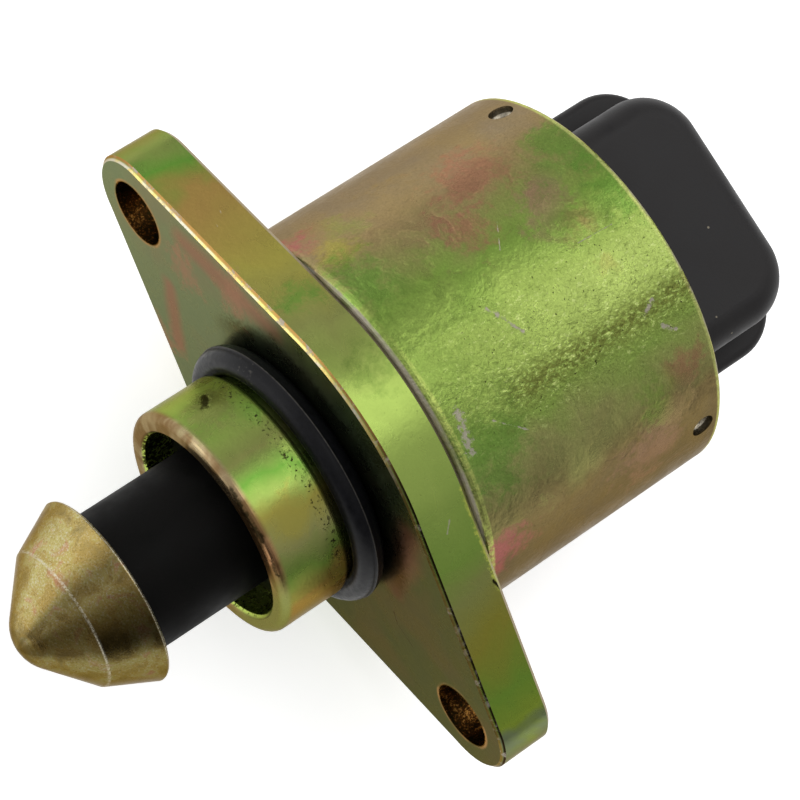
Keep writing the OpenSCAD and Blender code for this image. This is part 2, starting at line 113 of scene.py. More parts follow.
class Finish:
    """A material whose patterns are sized in millimetres."""

    def __init__(self, name, **shader):
        self.material = bpy.data.materials.new(name)
        self.material.use_nodes = True
        self.tree = self.material.node_tree
        self.shader = self.tree.nodes["Principled BSDF"]
        for key, value in shader.items():
            self.shader.inputs[key.replace("_", " ")].default_value = value
        coordinates = self.tree.nodes.new("ShaderNodeTexCoord")
        self.place = coordinates.outputs["Object"]
        self.facing = coordinates.outputs["Normal"]

    def add(self, kind, plugs, out=0, **settings):
        return add_node(self.tree, "ShaderNode" + kind, plugs, out, **settings)

    def plug(self, **sockets):
        """Links sockets to the shader's inputs."""
        for key, value in sockets.items():
            self.tree.links.new(value, self.shader.inputs[key.replace("_", " ")])

    # Sums and masks

    def math(self, operation, a, b=0.0, c=0.0):
        return self.add("Math", {0: a, 1: b, 2: c}, operation=operation)

    def fold(self, operation, values):
        """Joins several values two by two."""
        joined = values[0]
        for value in values[1:]:
            joined = self.math(operation, joined, value)
        return joined

    def times(self, *values):
        """The product of several masks."""
        return self.fold("MULTIPLY", values)

    def most(self, *values):
        """The strongest of several masks."""
        return self.fold("MAXIMUM", values)

    def span(self, value, low, high, to_low=0.0, to_high=1.0):
        """Goes smoothly from one value to another while the input crosses a span."""
        return self.add("MapRange", {
            "Value": value, "From Min": low, "From Max": high, "To Min": to_low, "To Max": to_high,
        }, interpolation_type="SMOOTHSTEP")

    def share(self, value, half):
        """Where a value lies between minus and plus a half width, as 0 to 1."""
        return self.add("MapRange", {"Value": value, "From Min": -half, "From Max": half})

    def stirred(self, value, noise, reach, middle=0.5):
        """A value pushed up and down by a noise, whose middle leaves it as it is."""
        return self.math("MULTIPLY_ADD", self.math("SUBTRACT", noise, middle), reach, value)

    # Places

    def axis(self, name, source=None):
        """One coordinate of the place, or of another vector."""
        return self.add("SeparateXYZ", {0: source or self.place}, out="XYZ".index(name))

    def moved(self, scale):
        """The place, stretched, for a pattern with a direction."""
        return self.add("Mapping", {"Vector": self.place, "Scale": scale})

    def from_axis(self):
        """The distance from the valve's own axis, Y."""
        return self.add("VectorMath", {0: self.moved((1, 0, 1))}, out="Value", operation="LENGTH")

    def span_mm(self, value, low_mm, high_mm, to_low=0.0, to_high=1.0):
        """A span over a length."""
        return self.span(value, low_mm * MM, high_mm * MM, to_low, to_high)

    def past(self, name, low_mm, high_mm, to_low=0.0, to_high=1.0):
        """A span from one place to another on an axis."""
        return self.span_mm(self.axis(name), low_mm, high_mm, to_low, to_high)

    def between(self, name, low_mm, high_mm, soft_mm):
        """A soft window over one coordinate."""
        at = self.axis(name)
        rise = self.span_mm(at, low_mm - soft_mm, low_mm + soft_mm)
        fall = self.span_mm(at, high_mm + soft_mm, high_mm - soft_mm)
        return self.times(rise, fall)

    def ball(self, centre_mm, radius_mm, soft=0.6, wobble=None):
        """A soft round patch at one place of the object."""
        centre = [c * MM for c in centre_mm]
        far = self.add("VectorMath", {0: self.place, 1: centre}, out="Value", operation="DISTANCE")
        if wobble is not None:
            far = self.math("MULTIPLY_ADD", wobble, radius_mm * MM, far)
        return self.span_mm(far, radius_mm, radius_mm * (1 - soft))

    def stroke(self, start_mm, end_mm, width_mm, soft=0.5, wobble=None):
        """A straight mark from one place to another: the distance to that line, cut off."""
        start = Vector(start_mm) * MM
        along = Vector(end_mm) * MM - start
        offset = self.add("VectorMath", {0: self.place, 1: start}, operation="SUBTRACT")
        part = self.add("VectorMath", {0: offset, 1: along / along.length_squared}, out="Value",
                        operation="DOT_PRODUCT")
        part = self.add("Clamp", {"Value": part, "Min": 0.0, "Max": 1.0})
        foot = self.add("VectorMath", {0: along, "Scale": part}, operation="SCALE")
        far = self.add("VectorMath", {0: offset, 1: foot}, out="Value", operation="DISTANCE")
        half = width_mm * MM / 2
        if wobble is not None:
            far = self.math("MULTIPLY_ADD", wobble, half, far)
        return self.span(far, half, half * (1 - soft))

    def strokes(self, marks, soft, wobble, under=0.0):
        """The strongest of several strokes, each a start, an end and a width."""
        for start_mm, end_mm, width_mm in marks:
            under = self.most(self.stroke(start_mm, end_mm, width_mm, soft, wobble), under)
        return under

    # Patterns

    def noise(self, size_mm, detail=3.0, roughness=0.5, distortion=0.0, place=None):
        """Clouds of about that size, from 0 to 1."""
        return self.add("TexNoise", {
            "Vector": place or self.place, "Scale": 1 / (size_mm * MM),
            "Detail": detail, "Roughness": roughness, "Distortion": distortion,
        })

    def dots(self, size_mm, radius, amount):
        """Round specks, one in each cell of a grid of that size, on a share of the cells."""
        settings = {"Vector": self.place, "Scale": 1 / (size_mm * MM)}
        near = self.add("TexVoronoi", settings)
        chance = self.axis("X", self.add("TexVoronoi", settings, out=1))
        mask = self.span(near, radius, radius * 0.9 - 0.01)
        return self.math("MULTIPLY", mask, self.math("LESS_THAN", chance, amount))

    def bump(self, height, depth_mm):
        """A normal tilted by a height, as if the surface rose by that depth."""
        return self.add("Bump", {"Height": height, "Distance": depth_mm * MM, "Strength": 1.0})

    # Colours

    def ramp(self, value, stops):
        """Colours along a value: pairs of a position and a colour."""
        node = self.tree.nodes.new("ShaderNodeValToRGB")
        while len(node.color_ramp.elements) < len(stops):
            node.color_ramp.elements.new(0.5)
        for element, (at, colour) in zip(node.color_ramp.elements, stops):
            element.position = at
            element.color = colour
        self.tree.links.new(value, node.inputs[0])
        return node.outputs[0]

    def mix(self, factor, a, b, blend="MIX"):
        """Goes from colour a to colour b as the factor goes from 0 to 1."""
        return self.add("Mix", {0: factor, 6: a, 7: b}, out=2, data_type="RGBA", blend_type=blend)

    def coats(self, colour, *layers):
        """Lays coats over a colour in turn, each a mask and a tint."""
        for mask, tint in layers:
            colour = self.mix(mask, colour, tint)
        return colour


def srgb(red, green, blue):
    """A colour as a paint program writes it, in the linear numbers that nodes use."""
    def linear(c):
        c /= 255
        return c / 12.92 if c <= 0.04045 else ((c + 0.055) / 1.055) ** 2.4

    return (linear(red), linear(green), linear(blue), 1.0)


def grey(value):
    """A grey in linear numbers. Above 1 it brightens what it multiplies."""
    return (value, value, value, 1.0)


def dress(finish, *names):
    """Gives a finish to CAD nodes, in the slots of their objects."""
    for name in names:
        for slot in nodes[name].material_slots:
            slot.material = finish.material
    print(finish.material.name, "on", ", ".join(names))


# %% [markdown]
# ## Yellow plating
# The can and the flange are mild steel with a zinc plating and a yellow chromate
# film on it. The film's thickness changes from place to place, so its colour drifts
# from olive through green to gold and pink, and its surface has an orange peel with
# small dark pits. The peel is what breaks the edges of every reflection into flecks,
# so it is a real relief in the shading; on the can, light and dark flecks are also
# painted in the band on top, as painted highlight and painted shade.


# %% Colours of the plating
OLIVE = srgb(124, 128, 72)
GREEN = srgb(114, 140, 62)
LEAF = srgb(92, 134, 52)
FERN = srgb(124, 146, 70)
GRASS = srgb(104, 134, 50)
PEAR = srgb(122, 140, 50)
LIME = srgb(138, 158, 78)
MOSS = srgb(100, 122, 54)
SAGE = srgb(138, 138, 84)
GREY_GREEN = srgb(108, 120, 88)
GOLD = srgb(148, 140, 66)
MUSTARD = srgb(128, 124, 50)
AMBER = srgb(146, 120, 66)
COPPER = srgb(158, 118, 82)
BROWN = srgb(136, 118, 82)
UMBER = srgb(112, 98, 66)
BARK = srgb(96, 86, 68)
STONE = srgb(124, 112, 94)
CLAY = srgb(132, 104, 86)
PINK = srgb(150, 112, 98)
ROSE = srgb(146, 98, 80)
MAGENTA = srgb(156, 84, 92)
DARK = srgb(40, 36, 20)
SILVER = srgb(158, 150, 138)
EDGE_TINT = srgb(200, 186, 166)
PLATED_METAL = 0.94
WORN_METAL_LOSS = 0.5
WORN_ROUGHER = 0.15
WORN_SINKS, PITS_SINK = 0.2, 0.3


def plated(name, rough, peel_mm):
    """The start of each plated finish: the shader and the noises that stir it."""
    finish = Finish(name, Metallic=PLATED_METAL, Roughness=rough, Specular_Tint=EDGE_TINT)
    finish.rough = rough
    finish.stir = finish.noise(9, 3, 0.55, 0.6)
    finish.cloud = finish.noise(3.2, 3, 0.6, 0.5)
    finish.peel = finish.noise(peel_mm, 4, 0.62)
    return finish


def plated_surface(finish, colour, pits, worn, depth_mm, mottled, relief):
    """Adds what all plating has: mottling, pits, bare worn metal and orange peel.

    The mask relief says where the peel reaches its full depth.
    """
    mottle = finish.ramp(finish.noise(0.2, 4, 0.7), [
        (0.34, grey(1 - mottled)), (0.66, grey(1 + mottled)),
    ])
    colour = finish.mix(1.0, colour, mottle, "MULTIPLY")
    colour = finish.coats(colour, (pits, DARK), (worn, SILVER))
    height = finish.times(finish.peel, relief)
    height = finish.math("MULTIPLY_ADD", pits, -PITS_SINK, height)
    height = finish.math("MULTIPLY_ADD", worn, -WORN_SINKS, height)
    roughness = finish.span(finish.cloud, 0.3, 0.7, finish.rough - 0.04, finish.rough + 0.06)
    finish.plug(
        Base_Color=colour,
        Roughness=finish.math("MULTIPLY_ADD", worn, WORN_ROUGHER, roughness),
        Metallic=finish.math("MULTIPLY_ADD", worn, -WORN_METAL_LOSS, PLATED_METAL),
        Normal=finish.bump(height, depth_mm),
    )


def tinted(finish, colour, clouds, strength):
    """Lays soft clouds of other colours at their places, each a centre, a reach and a tint."""
    frayed = finish.math("ADD", finish.cloud, finish.noise(0.9, 5, 0.75))
    fray = finish.stirred(0.0, frayed, 2.2, middle=1.0)
    for centre_mm, reach_mm, tint in clouds:
        patch = finish.ball(centre_mm, reach_mm, 0.95, fray)
        colour = finish.mix(finish.times(patch, strength), colour, tint)
    return colour


# %% [markdown]
# ## The can's finish
# Across the can the film goes from grey pink on one side, through olive and green,
# to a yellow green on top and to brown again; towards +X the brown is darkened as
# painted shade, and the top is brightened by a painted highlight. Pink clouds, the
# scrapes and the chips lie where they are on the real can, and moss clouds on top are
# painted shade that dims the bright band. The relief is deepest in the band where the
# drawn sheet was stretched, and the rims are rubbed; painted highlights line the
# shoulder and the rear rim. The floors of the three stake dimples are bare and silver.

# %% Places on the can
CAN_R, CAN_FRONT, CAN_SHOULDER, CAN_REAR = 18.0, 5.2, 6.0, 30.5
STAKE_WALL_DEPTH, STAKE_FLOOR_DEPTH = 0.1, 0.55
# Moss clouds on the can's top are painted shade that dims the bright band.
CAN_TINTS_AND_SHADE = [
    ((-11.75, 15.43, 13.64), 6.5, BROWN), ((-12.0, 21.5, 13.4), 5.0, ROSE),
    ((-9.0, 17.5, 15.6), 3.5, ROSE), ((-7.1, 23.9, 16.55), 3.8, PINK),
    ((-4.3, 25.6, 17.5), 2.4, ROSE), ((-14.2, 10.0, 11.0), 3.0, OLIVE),
    ((14.95, 22.6, 10.0), 4.5, CLAY), ((9.9, 27.2, 15.0), 2.6, ROSE),
    ((13.0, 12.0, 12.4), 4.0, UMBER), ((-15.1, 6.4, 9.8), 3.0, MAGENTA),
    ((15.1, 6.4, 9.7), 3.6, MAGENTA), ((-13.0, 8.0, 12.4), 2.6, GOLD),
    ((-9.5, 7.5, 15.3), 4.0, LEAF), ((8.0, 8.5, 16.1), 5.0, LEAF),
    ((10.5, 14.5, 14.6), 4.0, SAGE), ((-10.5, 29.0, 14.6), 4.5, LEAF),
    ((-5.0, 29.5, 17.3), 4.0, LEAF), ((-1.0, 8.0, 18.0), 8.5, MOSS),
    ((-0.3, 25.1, 18.0), 1.2, AMBER), ((11.0, 24.0, 14.2), 3.0, GREEN),
    ((-5.0, 24.5, 17.3), 3.0, MOSS), ((12.6, 26.5, 12.9), 2.4, BROWN),
    ((-3.9, 27.2, 17.6), 2.6, MOSS), ((-15.8, 21.0, -8.6), 6.0, LEAF),
    ((12.0, 18.0, -13.4), 6.0, ROSE), ((-6.0, 22.0, -17.0), 6.0, GOLD),
]
CAN_SCRAPES = [
    ((-2.44, 14.06, 17.83), (0.59, 15.58, 17.99), 0.6),
    ((4.15, 26.93, 17.52), (4.92, 25.72, 17.31), 0.9),
    ((6.37, 26.75, 16.83), (7.29, 27.81, 16.46), 0.8),
    ((-7.88, 19.67, 16.18), (-5.84, 18.17, 17.03), 0.16),
    ((-2.92, 23.96, 17.76), (-2.72, 27.43, 17.79), 0.12),
    ((3.2, 7.2, 17.7), (6.4, 6.6, 16.8), 1.6),
    ((5.2, 9.5, 17.2), (7.4, 12.0, 16.4), 0.3),
    ((-12.5, 14.0, -12.9), (-11.0, 17.0, -14.3), 0.4),
]
print("can:", len(CAN_TINTS_AND_SHADE), "clouds and", len(CAN_SCRAPES), "scrapes")

# %% [markdown]
# A ramp lays the colours across the can, and a noise stirs the place that it reads,
# so the bands wander; its darker far end is painted shade. Then come the clouds, and
# the flecks of the band on top: on each bump of the peel there, a painted highlight on
# one side and painted shade on the other. A painted highlight brightens the band, the
# shoulder and the rear rim, and a strip of painted dark and light flecks lies where
# the band's reflection falls off. The distance from the axis finds the walls and
# floors of the dimples.

# %% The can
can = plated("plated_can", 0.29, 0.32)
across = can.share(can.stirred(can.axis("X"), can.stir, 9 * MM), CAN_R * MM)
# The ramp's umber and bark end, towards +X, is painted shade.
can_colour = can.ramp(across, [
    (0.00, STONE), (0.14, BROWN), (0.24, OLIVE), (0.33, GREEN), (0.45, LIME),
    (0.58, LIME), (0.68, FERN), (0.77, SAGE), (0.87, UMBER), (1.0, BARK),
])
can_colour = tinted(can, can_colour, CAN_TINTS_AND_SHADE, 0.65)

on_top = can.past("Z", 9, 17)
in_band = can.times(can.between("X", -3, 8, 3), can.past("Y", 6, 16, 0.35, 1.0), on_top)
speckle = can.span(can.noise(0.26, 2, 0.5), 0.68, 0.74)
specks = can.times(speckle, can.span(in_band, 0.0, 1.0, 0.25, 0.9))

shreds = can.noise(0.45, 4, 0.7)
scraped = can.strokes(CAN_SCRAPES, 0.5, can.stirred(0.0, shreds, 3.0, middle=0.35))
rear_rim = can.times(
    can.past("Y", CAN_REAR - 0.1, CAN_REAR + 0.05), can.span(can.cloud, 0.45, 0.6, 0.0, 0.7)
)
front_rim = can.times(
    can.past("Y", CAN_FRONT + 0.35, CAN_FRONT + 0.2), can.span(can.cloud, 0.35, 0.55, 0.4, 0.9)
)
can_worn = can.most(can.times(scraped, 0.85), front_rim, rear_rim)

# Painted highlights: a light line on the shoulder's rounding and one by the rear rim.
shoulder_highlight = can.times(
    can.past("Y", CAN_SHOULDER + 0.2, CAN_SHOULDER),
    can.span(shreds, 0.35, 0.6, 0.2, 0.9),
    can.past("X", -6, 6, 0.15, 1.0),
)
rear_rim_highlight = can.times(
    can.past("Y", CAN_REAR - 0.35, CAN_REAR - 0.15), can.span(shreds, 0.3, 0.5, 0.4, 0.9)
)
# Painted light and shade in the band on top: dark and light flecks in a strip where the band's
# reflection falls off, a painted highlight over the band, and on the peel's bumps painted glints on
# one side and painted shade on the other.
flake = can.noise(0.42, 4, 0.75, 0.4, place=can.moved((1.3, 0.7, 1)))
band_falloff_light_and_shade = can.times(can.between("X", 3.4, 5.6, 1.6), on_top, can.past("Y", 9.5, 14))
band_highlight = can.times(can.past("Y", 11, 26), can.between("X", -1.4, 3.2, 1.4), on_top)
sunk = can.from_axis()
at_stake = can.between("Y", 27.0, 30.3, 0.1)
wall_r, floor_r = CAN_R - STAKE_WALL_DEPTH, CAN_R - STAKE_FLOOR_DEPTH
can_colour = can.coats(
    can_colour,
    (shoulder_highlight, srgb(168, 178, 96)),
    (rear_rim_highlight, srgb(176, 182, 108)),
    (can.times(band_falloff_light_and_shade, can.span(flake, 0.58, 0.46), 0.8), srgb(86, 82, 38)),
    (can.times(band_falloff_light_and_shade, can.span(flake, 0.56, 0.66), 0.7), srgb(180, 186, 108)),
    (can.times(band_highlight, 0.55), srgb(172, 190, 104)),
    (can.times(in_band, can.span(flake, 0.57, 0.66), 0.75), srgb(186, 200, 124)),
    (can.times(in_band, can.span(flake, 0.42, 0.34), 0.5), srgb(84, 96, 40)),
    (can.times(can.span_mm(sunk, wall_r, wall_r - 0.1), at_stake), srgb(96, 90, 76)),
    (can.times(can.span_mm(sunk, floor_r, floor_r - 0.1), at_stake), srgb(214, 210, 200)),
)
can_relief = can.math("MULTIPLY_ADD", in_band, 0.9, can.span(can.cloud, 0.4, 0.6, 0.15, 0.35))
can.peel = can.math("MULTIPLY_ADD", can.noise(1.3, 2, 0.5), 1.2, can.peel)
plated_surface(can, can_colour, specks, can_worn, depth_mm=0.12, mottled=0.12, relief=can_relief)
dress(can, "motor_can")

# %% [markdown]
# ## The flange's finish
# The flange is a thick stamping with a smoother film than the can's. Its face is
# greyer than its edge, with pink streaks, and darker towards +X as painted shade. The
# spigot is green with a coppery rim, with a gold band across it as a painted highlight.
# The front chamfer is rubbed, and a bright gold line on it is a painted highlight that
# turns to painted shade on the right arm. The object normal tells a face from an edge
# and a chamfer, so one tree can paint them all. The holes' drilled walls are dark with
# painted red and gold glints, and a painted highlight rings their edges.

# %% Places on the flange
FLANGE_HALF, SPIGOT_R, BORE_R = 30.0, 10.5, 9.0
HOLE_FROM_AXIS, HOLE_R = 24.8, 3.0
FACE_STREAKS = [
    ((-20.6, 0, 5.4), (-10.0, 0, 12.1), 5.0), ((-18.5, 0, -3.0), (-14.2, 0, -9.0), 3.0),
    ((9.4, 0, 12.2), (13.0, 0, 3.0), 5.5),
]
FLANGE_CLOUDS = [
    ((-18.59, 0, 2.32), 3.0, PINK), ((-14.06, 0, 8.46), 3.5, PINK),
    ((-16.16, 0, -11.35), 3.5, PINK), ((-11.09, 2.62, 13.88), 2.2, LEAF),
    ((-2.98, 3.76, 17.29), 3.0, MOSS), ((-6.19, -2.86, 8.48), 3.0, LEAF),
    ((-1.43, -2.76, 10.4), 2.5, LIME), ((3.0, -6.5, 10.1), 2.5, GOLD),
    ((8.37, -3.42, 6.34), 2.0, AMBER), ((-8.0, -6.5, 7.0), 3.5, OLIVE),
]
BURR = ((8.4, 5.1, 15.4), (17.0, 5.0, 10.5), 1.3)
BURR_SHADOW = ((16.2, 4.6, 11.0), (17.2, 5.0, 10.4), 0.5)
SCRATCHES = [
    ((10.0, 2.9, 14.5), (10.8, 2.3, 14.0), 0.25), ((20.2, 5.0, 8.4), (20.9, 5.0, 8.7), 0.5),
    ((-21.3, 3.3, 8.2), (-20.4, 3.0, 8.5), 0.12), ((-20.6, 2.2, 8.6), (-19.8, 2.0, 8.9), 0.12),
]
LAND_BACK, LAND_FRONT = -4.4, -3.2
SMEARS = [
    ((-8.9, -5.6, 5.6), (-8.2, -6.3, 6.5), 1.3), ((-1.4, -9.6, 10.2), (3.4, -9.6, 9.8), 0.9),
    ((5.0, -9.7, 9.1), (6.4, -9.7, 8.2), 0.7), ((14.4, 0, -0.1), (15.6, 0, -1.0), 0.22),
    ((15.6, 0, -1.0), (17.9, 0, -0.9), 0.2),
]
print("flange:", len(FLANGE_CLOUDS), "clouds,", len(SCRATCHES), "scratches,", len(SMEARS), "smears")

# %% [markdown]
# The face, the edge, the spigot and the spigot's rim each have colours of their own,
# which drift from one arm of the flange to the other; the face also darkens towards +X
# as painted shade, and the spigot carries a painted gold highlight.

# %% The flange: face, edge and spigot
flange = plated("plated_flange", 0.28, 0.35)
tilt = flange.math("ABSOLUTE", flange.axis("Y", flange.facing))
flat = flange.span(tilt, 0.8, 0.97)
along = flange.share(flange.stirred(flange.axis("X"), flange.stir, 10 * MM), FLANGE_HALF * MM)
edge_colour = flange.ramp(along, [
    (0.00, OLIVE), (0.07, LEAF), (0.13, AMBER), (0.24, GOLD), (0.36, OLIVE), (0.46, LIME),
    (0.60, LIME), (0.70, GREEN), (0.77, OLIVE), (0.84, MUSTARD), (0.91, GRASS), (0.97, PEAR),
    (1.0, GREY_GREEN),
])
# The face and its streaks darken towards +X: painted shade.
face_tone_and_shade = flange.mix(flange.past("X", -12, 14), srgb(107, 123, 95), srgb(68, 79, 55))
streak_tone_and_shade = flange.mix(flange.past("X", -6, 10), srgb(140, 102, 90), srgb(108, 74, 66))
faint = flange.span(flange.noise(9, 2, 0.5, 0.4), 0.45, 0.7, 0.0, 0.25)
sway = flange.math("SUBTRACT", flange.stir, 0.5)
streaks = flange.strokes(FACE_STREAKS, 1.0, sway, under=faint)
face_colour = flange.mix(flange.times(streaks, 0.8), face_tone_and_shade, streak_tone_and_shade)

round_spigot = flange.share(flange.stirred(flange.axis("X"), flange.stir, 8 * MM), SPIGOT_R * MM)
# The gold stop in the spigot's ramp is a painted highlight across it.
spigot_colour_and_highlight = flange.ramp(round_spigot, [
    (0.0, LIME), (0.14, GREEN), (0.30, OLIVE), (0.42, LEAF), (0.52, LIME), (0.62, GOLD),
    (0.74, SAGE), (0.86, GREEN), (1.0, AMBER),
])
rim_colour = flange.coats(
    srgb(152, 136, 104),
    (flange.past("X", -5, 6), COPPER),
    (flange.span(flange.cloud, 0.44, 0.60, 0.0, 0.8), srgb(108, 82, 50)),
    (flange.past("X", 5.5, 8.5), OLIVE),
)
print("face, edge and spigot:", len(flange.tree.nodes), "nodes")

# %% [markdown]
# Masks say where the holes, the chamfers, the painted shadow and reflection of the
# O-ring on the face, and the bore lie. Their colours are then laid over one another,
# like coats of paint; the ring round each hole, the gold line on the chamfer and the
# bore's light and dark walls are painted light and shade too.

# %% The flange: holes, chamfers and marks
beside = flange.math("SUBTRACT", flange.math("ABSOLUTE", flange.axis("X")), HOLE_FROM_AXIS * MM)
hole_far = flange.math("SQRT", flange.math(
    "ADD", flange.math("POWER", beside, 2.0), flange.math("POWER", flange.axis("Z"), 2.0)
))
in_hole = flange.span_mm(hole_far, HOLE_R + 0.12, HOLE_R + 0.04)
# Painted highlight in a ring round each hole's edge, and painted red and gold glints on the dark
# hole walls.
hole_rim_highlight = flange.times(
    flange.span_mm(hole_far, HOLE_R + 0.40, HOLE_R + 0.18),
    flange.span(flange.cloud, 0.4, 0.6, 0.1, 0.8),
)
glint_noise = flange.math("MULTIPLY_ADD", flange.cloud, 0.6, flange.noise(0.22, 4, 0.75))
hole_wall_and_glints = flange.ramp(glint_noise, [
    (0.75, srgb(50, 47, 21)), (0.90, srgb(104, 64, 28)), (1.0, srgb(240, 180, 92)),
])

chamfer = flange.times(
    flange.span(tilt, 0.3, 0.5), flange.span(tilt, 0.95, 0.85), flange.past("Y", -0.5, -0.2)
)
front_edge = flange.times(chamfer, flange.past("Y", 3, 2))
rear_edge = flange.times(chamfer, flange.past("Y", 2, 3))
right_arm = flange.past("X", 0, 7)
# The bright gold line on the front chamfer is a painted highlight, with painted shade in its place
# on the right arm; the line under it is orange brown on the left and painted shade on the right
# arm.
chamfer_highlight = flange.times(front_edge, flange.past("Y", 0.22, 0.10))
chamfer_highlight_tone = flange.coats(
    srgb(200, 180, 108),
    (flange.span(flange.cloud, 0.46, 0.60), srgb(188, 184, 166)),
    (right_arm, srgb(112, 96, 48)),
)
line_under_highlight = flange.times(front_edge, flange.past("Y", 0.14, 0.26))
line_under_tone_and_shade = flange.mix(right_arm, srgb(146, 112, 62), srgb(30, 24, 12))
frayed = flange.stirred(0.0, flange.noise(0.5, 4, 0.75), 2.2, middle=0.4)

from_axis = flange.from_axis()
# A painted shadow and reflection of the O-ring, dark on the face above the spigot.
ring_shadow_and_reflection = flange.times(
    flange.span_mm(flange.stirred(from_axis, flange.peel, 4 * MM), 14.8, 13.2),
    flange.past("Y", -0.2, 0.1), flange.past("Z", 0, 6), flat, 0.85,
)
bore = flange.times(flange.span_mm(from_axis, BORE_R, BORE_R - 0.15), flange.past("Y", -2, -4))
# The bore's wall: painted highlight on the +X side, painted shade on the -X side.
bore_shade = flange.span(flange.math("MULTIPLY_ADD", flange.axis("X"), 8.0, flange.peel), 0.50, 0.42)
bore_light_and_shade = flange.mix(bore_shade, srgb(176, 196, 96), srgb(48, 54, 24))

flange_colour = flange.coats(
    edge_colour,
    (flat, face_colour),
    (flange.past("Y", -0.2, -0.6), spigot_colour_and_highlight),
    (flange.past("Y", -8.7, -9.3), rim_colour),
    (hole_rim_highlight, srgb(168, 130, 88)),
    (in_hole, hole_wall_and_glints),
    (chamfer_highlight, chamfer_highlight_tone),
    (line_under_highlight, line_under_tone_and_shade),
    (flange.times(rear_edge, 0.85), srgb(150, 138, 112)),
    (flange.stroke(*BURR, 0.5, frayed), srgb(176, 184, 84)),
    (flange.stroke(*BURR_SHADOW, 0.5, frayed), srgb(28, 24, 12)),
)
flange_colour = tinted(flange, flange_colour, FLANGE_CLOUDS, 0.7)
flange_colour = flange.coats(flange_colour, (ring_shadow_and_reflection, srgb(24, 20, 12)), (bore, bore_light_and_shade))
print("with holes, chamfers and marks:", len(flange.tree.nodes), "nodes")

# %% [markdown]
# The chamfers are chipped, the spigot has small pits behind the O-ring's land, and a
# few scratches and smears lie where the photograph has them.

# %% The flange: wear, pits and surface
chipped = flange.times(
    chamfer,
    flange.span(flange.noise(1.1, 4, 0.75), 0.5, 0.66),
    flange.span(flange.stir, 0.42, 0.58),
)
scratched = flange.times(flange.strokes(SCRATCHES, 0.4, frayed), 0.6)
flange_worn = flange.most(chipped, scratched, flange.times(rear_edge, 0.4))

fleck = flange.span(flange.noise(0.3, 2, 0.5), 0.70, 0.76)
behind_land = flange.between("Y", LAND_BACK, LAND_FRONT, 0.5)
blotch = flange.times(
    flange.span(flange.peel, 0.56, 0.64),
    flange.between("Y", LAND_BACK - 0.2, LAND_FRONT - 0.4, 0.4),
)
smudge = flange.stirred(0.0, flange.noise(0.5, 3, 0.7), 2.0, middle=0.4)
smeared = flange.times(flange.strokes(SMEARS, 0.6, smudge), 0.85)
flange_pits = flange.most(flange.times(fleck, flange.most(behind_land, 0.25)), blotch, smeared)

calm = flange.span(flange.cloud, 0.3, 0.7, 0.15, 0.35)
flange_relief = flange.math("MULTIPLY_ADD", behind_land, 0.3, calm)
plated_surface(flange, flange_colour, flange_pits, flange_worn,
               depth_mm=0.05, mottled=0.03, relief=flange_relief)
dress(flange, "mounting_flange")

# %% [markdown]
# ## The cone's finish
# The pintle's cone is turned steel with the same film, but rubbed: fine grey grain
# shows through yellow brown, and the ridge and the back rim are worn to silver. Light
# and shade are painted round it: a lighter band on one side as painted highlight and
# a dark sector on the other as painted shade. The place across the axis, divided by
# the distance from it, says how far round a point lies.

# %% The cone
CONE_NOSE, CONE_RIDGE, CONE_BACK = -28.1, -24.1, -19.85
cone = Finish("plated_cone", Metallic=PLATED_METAL, Roughness=0.3, Specular_Tint=EDGE_TINT)
grain = cone.noise(0.16, 3, 0.7)
rub = cone.noise(2.2, 4, 0.6, 0.5)
cone_colour = cone.ramp(rub, [
    (0.32, srgb(122, 106, 62)), (0.46, srgb(140, 120, 66)),
    (0.58, srgb(150, 138, 82)), (0.70, srgb(152, 112, 82)),
])
silvered = cone.times(cone.span(grain, 0.52, 0.66), cone.span(rub, 0.35, 0.6, 0.15, 0.65))
cone_colour = cone.coats(
    cone_colour,
    (silvered, srgb(170, 166, 146)),
    (cone.times(cone.span(grain, 0.44, 0.34), 0.5), srgb(84, 70, 36)),
)
around = cone.stirred(cone.math("DIVIDE", cone.axis("X"), cone.from_axis()), rub, 0.35)
# Painted light and shade round the cone: above 1 a painted highlight, below 1 painted shade.
cone_light_and_shade = cone.ramp(cone.share(around, 1.0), [
    (0.0, (0.9, 0.9, 0.94, 1)), (0.13, (1.32, 1.4, 1.6, 1)), (0.28, (0.96, 0.94, 0.92, 1)),
    (0.40, (0.52, 0.52, 0.54, 1)), (0.50, (0.72, 0.7, 0.72, 1)), (0.60, (0.36, 0.33, 0.28, 1)),
    (0.70, (0.27, 0.245, 0.2, 1)), (0.80, (0.26, 0.25, 0.24, 1)), (0.90, (0.64, 0.66, 0.66, 1)),
    (1.0, (0.6, 0.62, 0.62, 1)),
])
cone_colour = cone.mix(1.0, cone_colour, cone_light_and_shade, "MULTIPLY")
from_ridge = cone.math("ABSOLUTE", cone.math("SUBTRACT", cone.axis("Y"), CONE_RIDGE * MM))
ridge = cone.times(cone.span_mm(from_ridge, 0.14, 0.04), 0.6)
back_rim = cone.past("Y", CONE_BACK - 0.1, CONE_BACK + 0.05)
nose = cone.past("Y", CONE_NOSE + 0.2, CONE_NOSE - 0.2)
worn_rim = cone.times(cone.most(ridge, back_rim), cone.span(grain, 0.4, 0.56, 0.1, 0.9))
cone_colour = cone.coats(
    cone_colour, (cone.times(nose, 0.6), srgb(84, 72, 44)), (worn_rim, srgb(186, 182, 166))
)
turning = cone.noise(0.35, 2, 0.5, place=cone.moved((0.25, 3, 0.25)))
cone.plug(
    Base_Color=cone_colour,
    Roughness=cone.span(rub, 0.3, 0.7, 0.24, 0.34),
    Normal=cone.bump(cone.math("MULTIPLY_ADD", turning, 0.6, grain), 0.012),
)
dress(cone, "valve_cone")

